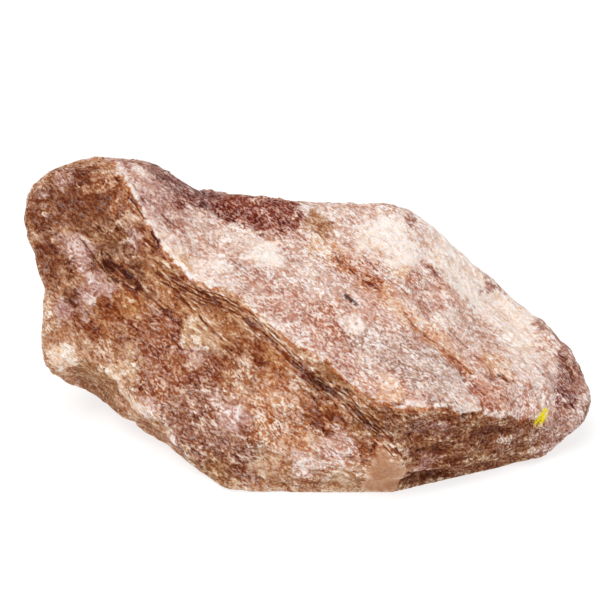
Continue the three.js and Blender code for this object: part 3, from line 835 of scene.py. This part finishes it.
def blendTones(points, swatches, fields):
    # each swatch holds the ground nearest to it: red, green, blue, frost and grit for every point
    way = np.array(ridgeWay)
    pull = np.zeros((len(points), len(swatches)))
    values = np.zeros((len(swatches), 5))
    for i, (tone, at, reach, *rest) in enumerate(swatches):
        longer, weight = (*rest, 1, 1)[:2]
        away = points - np.array(at)
        away = away - np.outer(away @ way, way) * (1 - 1 / longer)
        hold = math.log(weight) - borders["fade"] * (away ** 2).sum(1) / reach ** 2
        pull[:, i] = borders["crispness"] * hold + fields[i % 6] * borders["ragged"]
        colour, frost, grit = tones[tone]
        values[i] = *linear(*colour), frost, grit
    share = np.exp(pull - pull.max(1)[:, None])
    return share @ values / share.sum(1)[:, None]


def zoneMasks(points, facing, warp):
    # 0 to 1 for the front, the face right of the corner, the tip and the back, with ragged borders
    near = points + warp * 0.45

    def beyond(line, toward, width):
        gapShade = (near - nearestOn(near, line)[1]) @ np.array(Vector(toward).normalized())
        return smoothstep(gapShade, -width, width)

    return SimpleNamespace(
        front=beyond(ridgeLine, ridgeFront, 0.35),
        right=beyond(cornerLine, (1, 0.1, 0.25), 0.5),
        tip=beyond(tipLine, (1, 0.1, 0.1), 1.0),
        back=smoothstep(facing[:, 1], 0.15, 0.6),
    )


def groundTones(points, warp, fields, zone):
    places = points + warp * 1.3
    paint = blendTones(places, slabSwatches, fields)
    layers = (
        (zone.front * (1 - zone.right), frontSwatches), (zone.front * zone.right, rightSwatches),
        (zone.tip, tipSwatches), (zone.back, backSwatches),
    )
    for mask, swatches in layers:
        share = mask[:, None]
        paint = paint * (1 - share) + blendTones(places, swatches, fields) * share
    return paint


def paintLines(paint, points, warp, fields, zone):
    # an orange rim just below the ridge, a white band just above it painted as the highlight on the slab's
    # broken edge, the rusty step and the smooth facet
    distance, spot, _ = nearestOn(points + warp * 0.5, ridgeLine)
    lower = (points + warp * 0.5 - spot) @ np.array(ridgeFront) > 0
    offTip = 1 - zone.tip
    rim = np.where(lower, 0.8 * (1 - smoothstep(distance, 0.8, 2.4)), 0) * offTip * (fields[3] > -0.7)
    edgeHighlight = np.where(lower, 0, 0.6 * (1 - smoothstep(distance, 1.0, 3.2))) * offTip * (fields[4] > -0.6)
    step = nearestOn(points + warp * 1.4, stepLine)[0]
    step = 0.6 * (1 - smoothstep(step, 0.8, 2.4)) * (1 - zone.front) * (fields[5] > -0.5)
    calm = onFacet(points + warp * 1.1)
    for share, tone in ((rim, "orange"), (edgeHighlight, "white"), (step, "copper"), (calm, "peach")):
        colour, frost, grit = tones[tone]
        paint += share[:, None] * (np.array([*linear(*colour), frost, grit]) - paint)


def markJoint(mesh, points, facing, warp, zone):
    # how clearly the beds show, the height above the joint measured across it, and the cracks
    front = zone.front * (1 - zone.right)
    distance, spot, _ = nearestOn(points, jointLine)
    above = (spot - points) @ np.array(ridgeFront)
    band = front * (1 - smoothstep(distance, 6, 26))
    strata = 0.12 + 0.1 * zone.front + 0.5 * band + 0.6 * zone.front * zone.right
    remember(mesh, "strata", np.clip(strata, 0, 1) * (1 - zone.tip))
    remember(mesh, "aboveJoint", np.where(distance < 14, above, 14))

    leafy = distance
    crack = np.full(len(points), 9.0)
    near = crack.copy()
    for line in creviceLines + slabCracks:
        distance, spot, _ = nearestOn(points, line)
        side = ((points - spot) * np.cross(facing, np.array(ridgeWay))).sum(1)
        crack = np.where(distance < near, side, crack)
        near = np.minimum(near, distance)
        if line in creviceLines:
            leafy = np.minimum(leafy, distance)
    remember(mesh, "crack", crack)
    remember(mesh, "crackNear", 1 - smoothstep(near, 2.5, 4.5))
    remember(mesh, "leafy", front * (1 - smoothstep(leafy + warp[:, 0] * 0.8, 2.0, 6.0)))


def paintBlock(stone):
    mesh = stone.data
    points, facing = coordinates(mesh), normals(mesh)
    fields = roughFields(points)
    warp = np.array(fields[:3]).T
    zone = zoneMasks(points, facing, warp)
    paint = groundTones(points, warp, fields, zone)
    paintLines(paint, points, warp, fields, zone)
    remember(mesh, "tint", np.hstack([paint[:, :3], np.ones((len(points), 1))]), "FLOAT_COLOR")
    remember(mesh, "frost", paint[:, 3])
    remember(mesh, "grit", paint[:, 4])
    markJoint(mesh, points, facing, warp, zone)
    remember(mesh, "pit", np.min([nearestOn(points, line)[0] for line in slabPits], 0))
    remember(mesh, "crayon", smoothstep(nearestOn(points, crayonLine)[0], 2.6, 1.5))


finish = {
    "frost": (243, 230, 226),  # screen colour of the white, crushed grains
    # painted shade: the colour of the dark inside open cracks and pits
    "gapShade": (66, 30, 16),  # the dark of open cracks and pits
    "crayon": (233, 214, 24),
    "fleck": 0.8, "fleckLonger": 1.9,  # millimetres, and how much longer along the grain
    "chip": 2.1, "crystal": 6.0,  # millimetres
    # how much each pattern deepens or thins the colour: on smooth salt, and how much more on gritty salt
    "speckShade": (0.2, 0.95), "cloudShade": (0.05, 0.9), "chipShade": (0.05, 0.7),
    "crustShade": (0.05, 0.6), "faceShade": (0.1, 0.6),
    # the joint is several thin gaps: height of each above it, and half its width
    "jointGaps": ((-2.6, 0.4), (-1.2, 0.5), (0.1, 0.7), (1.4, 0.5), (2.8, 0.4)),
    "crackWidth": 0.6,  # half the width of a crack
}


def grainPatterns(g, p):
    # long grains and specks, clumps of them, chips and cleaved faces, clouds, and crusts with crisp borders
    way = g.squeeze(g.wander(p, 3.0, 1.3), ridgeWay, finish["fleckLonger"])
    fleck = g.cells(way, finish["fleck"])
    fine = g.noise(way, finish["fleck"] * 1.15, 0.5, 0.5) + (g.channel(fleck, 0) - 0.5) * 0.4
    clump = g.noise(way, finish["fleck"] * 3.0, 1.0, 0.5)
    chipWay = g.squeeze(g.wander(p, 2.2, 1.2), ridgeWay, 1.5)
    chip = g.cells(chipWay, finish["chip"])
    crystalWay = g.squeeze(g.wander(g.wander(p, 7.0, 4.0), 1.8, 0.9), ridgeWay, 1.5)
    rift = 1 - g.ramp(g.cells(crystalWay, finish["crystal"], "DISTANCE_TO_EDGE", "Distance"), 0.01, 0.05)
    crustWay = g.squeeze(g.wander(p, 4.0, 2.5), ridgeWay, 1.5)
    return SimpleNamespace(
        way=way, fleck=fleck, fine=fine, clump=clump, chipWay=chipWay, chip=chip, crystalWay=crystalWay,
        speck=g.ramp(fine + (clump - 0.5) * 0.2 + (g.channel(chip, 0) - 0.5) * 0.1, 0.4, 0.58),
        face=g.cells(crystalWay, finish["crystal"]),
        rift=rift * g.ramp(g.noise(p, 6.0, 2.0), 0.45, 0.6),
        cloud=g.noise(p, 9.0, 4.0, 0.6),
        crust=g.ramp(g.noise(crustWay, 6.5, 4.0, 0.65), 0.48, 0.53),
    )


def bedLines(g, p):
    # beds show as fine lines
    sway = (g.noise(p, 14.0, 3.0) - 0.5) * 7.0
    height = g.vector("DOT_PRODUCT", p, tuple(bedUp)) + sway
    flat = g.vector("ADD", g.vector("SCALE", p, 0.13), g.vector("SCALE", tuple(bedUp), height * 0.87))
    return g.noise(flat, 1.1, 3.0, 0.62)


def shadedGaps(g, p, leafy):
    # the gaps of the joint and the cracks, none of them whole: a mask that sinks them in the bump and
    # paints them dark, as the shade inside them
    waver = (g.noise(g.squeeze(p, ridgeWay, 5.0), 2.6, 3.0) - 0.5) * 2.6
    rise = g.painted("aboveJoint") + waver
    atJoint = g.ramp(leafy, 0.2, 0.6)
    strands = [(rise - height, width, atJoint) for height, width in finish["jointGaps"]]
    atCrack = g.ramp(g.painted("crackNear"), 0.3, 0.7)
    strands.append((g.painted("crack") + waver * 0.7, finish["crackWidth"], atCrack))
    way = g.squeeze(p, ridgeWay, 2.0)
    gaps = 0.0
    for i, (off, width, zone) in enumerate(strands):
        whole = g.ramp(g.noise(g.vector("ADD", way, (9 * i, 5 * i, 0)), 4.0, 2.0), 0.44, 0.5)
        gapShade = (1 - g.ramp(g.math("ABSOLUTE", off), width * 0.4, width)) * whole * zone
        gaps = g.math("MAXIMUM", gaps, gapShade)
    return gaps


def colourDensity(g, ground, grain, beds, leaf, gaps):
    # how much pigment the light meets on its way, so that dark salt is deeper in colour as well
    def shade(value, name):
        smooth, gritty = finish[name]
        return (0.5 - value) * (smooth + gritty * ground.grit)

    density = 1.02 + shade(grain.speck, "speckShade") + shade(grain.cloud, "cloudShade")
    density = density + shade(g.channel(grain.chip, 1), "chipShade") + shade(grain.crust, "crustShade")
    density = density + shade(g.channel(grain.face, 0), "faceShade") + grain.rift * ground.grit * 0.6
    density = density + (0.5 - beds) * 2.2 * ground.strata
    darkFlecks = g.ramp(g.channel(grain.fleck, 1), 0.94, 0.96)
    density = density + darkFlecks * (0.3 + ground.grit) * (1 - ground.calm)
    # painted shade between the thin leaves and painted light on them
    leaves = (1 - g.ramp(leaf, 0.4, 0.46)) * 0.8 - g.ramp(leaf, 0.55, 0.61) * 0.5
    # the gaps painted dark, as the shade inside them
    density = density + leaves * ground.leafy + gaps * 1.2
    # painted shade in the hollows and in the cuts
    density = density + ground.hollow * 0.3 + ground.cut * g.ramp(grain.clump, 0.3, 0.5) * 0.3
    # raised edges painted lighter, as highlights
    density = density - ground.edge * g.ramp(grain.clump, 0.35, 0.55) * 0.4
    return g.math("MINIMUM", g.math("MAXIMUM", density, 0.2), 2.3)


def saltColour(g, p, ground, grain, density, gaps):
    tint = g.painted("tint", "Color")
    colour = g.put("ShaderNodeGamma", {}, {"Color": tint, "Gamma": density})
    hue = g.noise(g.vector("ADD", p, (40, 10, 25)), 2.2, 3.0, 0.7)
    hue = g.blend(g.ramp(hue, 0.4, 0.6), (1.02, 0.97, 0.88, 1), (0.98, 1.0, 1.03, 1))
    colour = g.blend(1.0, colour, hue, "MULTIPLY")
    rusty = g.ramp(g.noise(g.vector("ADD", grain.way, (7, 1, 4)), 1.5, 1.0), 0.57, 0.64)
    rusty = rusty * g.ramp(ground.grit, 0.1, 0.6)
    colour = g.blend(rusty * 0.5, colour, (0.95, 0.74, 0.6, 1), "MULTIPLY")
    # painted shade: pits and gaps darkened towards the colour of the dark inside them
    pit = 1 - g.ramp(ground.pit + (g.noise(p, 1.5, 1.0) - 0.5) * 1.2, 0.9, 1.4)
    gapAndPitShade = g.math("MAXIMUM", gaps * 0.3, pit * 0.9)
    colour = g.blend(gapAndPitShade, colour, (*linear(*finish["gapShade"]), 1))
    colour = g.blend(whiteGrainsAndGlints(g, p, ground, grain), colour, (*linear(*finish["frost"]), 1))
    crayon = ground.crayon * g.ramp(g.noise(p, 1.3, 2.0), 0.4, 0.47)
    return g.blend(crayon, colour, (*linear(*finish["crayon"]), 1))


def whiteGrainsAndGlints(g, p, ground, grain):
    # crushed grains, thin veins, and single bright flecks painted as glints
    vein = g.math("ABSOLUTE", g.noise(g.vector("ADD", grain.way, (3, 8, 5)), 3.2, 2.0, 0.6) - 0.5)
    vein = (1 - g.ramp(vein, 0.0, 0.03)) * g.ramp(g.noise(p, 5.0, 2.0), 0.42, 0.6)
    vein = vein * (0.12 + 0.6 * ground.frost)
    paintedGlint = g.ramp(g.channel(grain.fleck, 2), 0.965, 0.98) * (0.06 + 0.9 * ground.frost)
    # raised edges get a little more white, a painted highlight
    crushed = grain.fine + (grain.clump - 0.5) * 0.5 + ground.frost * 0.12 + ground.edge * 0.05
    crushed = g.ramp(crushed + (grain.cloud - 0.5) * 0.3, 0.64, 0.74) * ground.frost * (0.3 + ground.grit)
    return g.math("MAXIMUM", g.math("MAXIMUM", crushed, vein), paintedGlint) * (1 - ground.calm)


def facets(g, place, size):
    # height of a surface of small flat faces, each with its own tilt
    middle = g.cells(place, size, output="Position")
    tilt = g.vector("SUBTRACT", g.cells(place, size), (0.5,) * 3)
    return g.vector("DOT_PRODUCT", g.vector("SUBTRACT", place, middle), tilt)


def saltMaterial():
    material = bpy.data.materials.new("rock salt")
    material.use_nodes = True
    tree = material.node_tree
    tree.nodes.clear()
    g = Graph(tree)
    p = g.vector("SCALE", g.put("ShaderNodeTexCoord", output="Object"), 1000.0)  # millimetres

    names = ("frost", "grit", "strata", "edge", "hollow", "calm", "leafy", "cut", "pit", "crayon")
    ground = SimpleNamespace(**{name: g.painted(name) for name in names})
    grain = grainPatterns(g, p)
    bare = 1 - ground.calm
    ground.grit = ground.grit * (0.55 + 0.9 * g.channel(grain.face, 1)) * bare * (1 - 0.7 * ground.leafy)
    ground.strata = ground.strata * bare
    beds = bedLines(g, p)
    # thin leaves of salt beside the joint, raised in the bump, with painted shade between them and painted
    # light on them
    leaf = g.noise(g.squeeze(g.wander(p, 9.0, 1.6), ridgeWay, 9.0), 1.5, 2.0, 0.6)
    gaps = shadedGaps(g, p, ground.leafy)
    density = colourDensity(g, ground, grain, beds, leaf, gaps)

    bumps = facets(g, grain.chipWay, finish["chip"]) * 2.2
    bumps = bumps + facets(g, grain.crystalWay, finish["crystal"]) * 0.6
    bumps = bumps + grain.speck * 0.35 + grain.crust - grain.rift
    bumps = bumps + (beds - 0.5) * ground.strata - gaps + leaf * ground.leafy * 2.0
    bumps = bumps * (0.35 + 0.65 * ground.grit) * (1 - 0.85 * ground.calm)
    glint = g.ramp(g.channel(grain.fleck, 2), 0.88, 0.92) * (0.2 + 0.8 * ground.frost)
    surface = {
        "Base Color": saltColour(g, p, ground, grain, density, gaps),
        "Roughness": 0.66 - 0.34 * glint,
        "IOR": 1.54,
        "Specular IOR Level": 0.12,
        "Normal": g.put("ShaderNodeBump", {}, {"Strength": 0.6, "Distance": 0.0006, "Height": bumps}),
    }
    shader = g.put("ShaderNodeBsdfPrincipled", {}, surface)
    out = tree.nodes.new("ShaderNodeOutputMaterial")
    tree.links.new(shader.socket, out.inputs["Surface"])
    return material


stone = makeBlock(saltMaterial())
print("block", len(stone.data.vertices), "points")
print("finish")
paintBlock(stone)
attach(stone, "root")
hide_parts("halite")

print("faces", sum(len(poly.vertices) - 2 for poly in stone.data.polygons))
